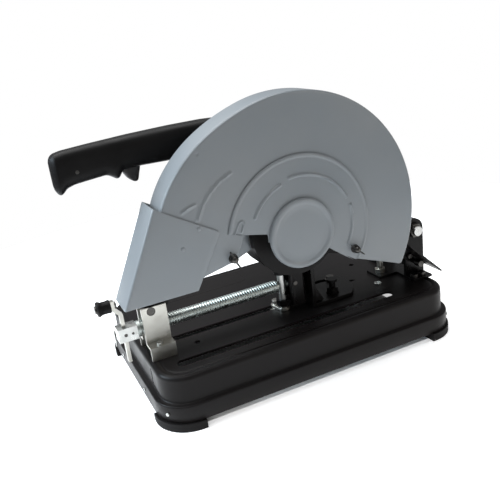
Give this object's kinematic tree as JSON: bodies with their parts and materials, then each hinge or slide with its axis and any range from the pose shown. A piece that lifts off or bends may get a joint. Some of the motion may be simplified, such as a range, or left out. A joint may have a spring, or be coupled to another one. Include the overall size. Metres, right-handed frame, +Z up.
{
  "type": "abrasive chop saw",
  "caption": "Bench cut-off saw: pressed steel base with feet, screw vise, swivel fence, and a hinged head with motor, gears, wheel guard and handle.",
  "frame": {"origin": "centre of the four bench bolt holes, on the plane the feet stand on", "axes": "+X from the handle to the head pivot, +Y from the wheel side to the motor side, +Z up"},
  "size_m": [0.5455, 0.326, 0.409],
  "materials": {
    "base_enamel": "semi_gloss",
    "black_rubber": "matte",
    "zinc": "satin",
    "black_steel": "semi_gloss",
    "dark_fastener": "satin",
    "ground_steel": "satin",
    "spring_steel": "satin",
    "zinc_plate": "satin",
    "bronze": "satin",
    "copper": "satin",
    "carbon": "matte",
    "cast_black": "satin",
    "black_plastic": "matte",
    "trigger_plastic": "matte",
    "button_plastic": "gloss",
    "grey_enamel": "semi_gloss"
  },
  "bodies": {
    "base": {"base_shell": "base_enamel", "feet": "black_rubber", "base_fasteners": "zinc", "rear_bracket": "black_steel", "bracket_bolts": "dark_fastener", "pivot_shaft": "ground_steel", "pivot_nuts": "dark_fastener", "return_spring": "spring_steel", "depth_stop_bolt": "ground_steel", "vise_bracket_near": "zinc_plate", "vise_bracket_far": "zinc_plate", "bracket_screws": "zinc", "half_nut_pin": "dark_fastener", "fence_pivot_bolt": "dark_fastener"},
    "lock_pin": {"head_lock_pin": "dark_fastener"},
    "spark_flap": {"rear_spark_flap": "black_steel"},
    "flap_bolt": {"flap_bolt": "dark_fastener"},
    "nut": {"half_nut": "black_steel"},
    "vise_carriage": {"jaw_pin": "zinc", "pin_snap_ring": "dark_fastener", "jaw_guide": "zinc_plate"},
    "jaw": {"vise_jaw": "black_steel", "jaw_screw": "dark_fastener"},
    "screw": {"vise_screw": "zinc_plate", "screw_collar": "zinc_plate", "crank_hub": "zinc_plate", "crank_arm": "zinc_plate", "crank_pins": "dark_fastener"},
    "grip": {"crank_grip": "black_plastic"},
    "fence_plate": {"fence": "black_steel"},
    "clamp_bolt": {"fence_clamp_bolt": "dark_fastener"},
    "head": {"gear_case": "cast_black", "pivot_bushes": "bronze", "motor_housing": "black_plastic", "motor_end_cap": "black_plastic", "motor_screws": "dark_fastener", "brush_caps": "black_plastic", "brushes": "carbon", "stator": "ground_steel", "ball_bearings": "ground_steel", "upper_guard": "grey_enamel", "front_deflector": "grey_enamel", "guard_rivets": "zinc_plate", "handle_near_shell": "black_plastic", "handle_far_shell": "black_plastic", "handle_screws": "dark_fastener"},
    "spindle_set": {"spindle": "ground_steel", "spindle_gear": "ground_steel", "inner_flange": "ground_steel", "outer_flange": "ground_steel", "arbor_bolt": "dark_fastener"},
    "armature_set": {"armature": "ground_steel", "commutator": "copper", "motor_fan": "black_plastic", "pinion": "ground_steel"},
    "cover": {"centre_cover": "grey_enamel"},
    "rear_wing": {"rear_wing_screw": "zinc"},
    "front_wing": {"front_wing_screw": "zinc_plate"},
    "trigger_lever": {"trigger": "trigger_plastic"},
    "button": {"lock_button": "button_plastic"}
  },
  "joints": [
    {"name": "head_tilt", "type": "hinge", "parent": "base", "child": "head", "pos_m": [0.219, -0.042, 0.156], "axis": [0, 1, 0], "range_deg": [0, 45]},
    {"name": "spindle_spin", "type": "hinge", "parent": "head", "child": "spindle_set", "pos_m": [-0.007, -0.105, 0.221], "axis": [0, 1, 0], "continuous": true},
    {"name": "armature_spin", "type": "hinge", "parent": "head", "child": "armature_set", "pos_m": [0.03054, 0, 0.2525], "axis": [0, 1, 0], "continuous": true},
    {"name": "cover_swing", "type": "hinge", "parent": "head", "child": "cover", "pos_m": [0.0748, -0.134, 0.1768], "axis": [0, 1, 0], "range_deg": [0, 60]},
    {"name": "rear_wing_turn", "type": "hinge", "parent": "head", "child": "rear_wing", "pos_m": [0.0748, -0.134, 0.1768], "axis": [0, 1, 0], "range_deg": [-180, 180]},
    {"name": "front_wing_turn", "type": "hinge", "parent": "head", "child": "front_wing", "pos_m": [-0.11, -0.132, 0.2115], "axis": [0, 1, 0], "range_deg": [-180, 180]},
    {"name": "trigger_pull", "type": "slide", "parent": "head", "child": "trigger_lever", "axis": [0, 0, 1], "range_m": [0, 0.006], "stiffness_N_per_m": 300, "springref_m": -0.003},
    {"name": "button_press", "type": "slide", "parent": "head", "child": "button", "axis": [0, -1, 0], "range_m": [0, 0.003], "stiffness_N_per_m": 100, "springref_m": -0.003},
    {"name": "vise_slide", "type": "slide", "parent": "base", "child": "vise_carriage", "axis": [-1, 0, 0], "range_m": [0, 0.14]},
    {"name": "screw_turn", "type": "hinge", "parent": "vise_carriage", "child": "screw", "pos_m": [-0.13, -0.057, 0.118], "axis": [-1, 0, 0], "range_deg": [0, 12600]},
    {"name": "jaw_swivel", "type": "hinge", "parent": "vise_carriage", "child": "jaw", "pos_m": [-0.009, -0.057, 0.118], "axis": [0, 0, 1], "range_deg": [-10, 10]},
    {"name": "grip_spin", "type": "hinge", "parent": "screw", "child": "grip", "pos_m": [-0.274, -0.057, 0.162], "axis": [1, 0, 0], "continuous": true},
    {"name": "nut_flip", "type": "hinge", "parent": "base", "child": "nut", "pos_m": [-0.215, -0.057, 0.143], "axis": [0, -1, 0], "range_deg": [0, 60]},
    {"name": "fence_swivel", "type": "hinge", "parent": "base", "child": "fence_plate", "pos_m": [0.075, -0.063, 0.08], "axis": [0, 0, -1], "range_deg": [0, 45]},
    {"name": "clamp_turn", "type": "hinge", "parent": "base", "child": "clamp_bolt", "pos_m": [0.09679, -0.02023, 0.08], "axis": [0, 0, 1], "range_deg": [-180, 180]},
    {"name": "lock_slide", "type": "slide", "parent": "base", "child": "lock_pin", "axis": [0, 1, 0], "range_m": [0, 0.008]},
    {"name": "flap_tilt", "type": "hinge", "parent": "base", "child": "spark_flap", "pos_m": [0.205, -0.086, 0.116], "axis": [0, 1, 0], "range_deg": [-4, 0]},
    {"name": "flap_bolt_turn", "type": "hinge", "parent": "base", "child": "flap_bolt", "pos_m": [0.205, -0.086, 0.116], "axis": [0, 1, 0], "range_deg": [-180, 180]}
  ],
  "couplings": [
    {"joint": "armature_spin", "follows": "spindle_spin", "ratio": -5.2222},
    {"joint": "vise_slide", "follows": "screw_turn", "m_per_rad": 0.00063661}
  ]
}
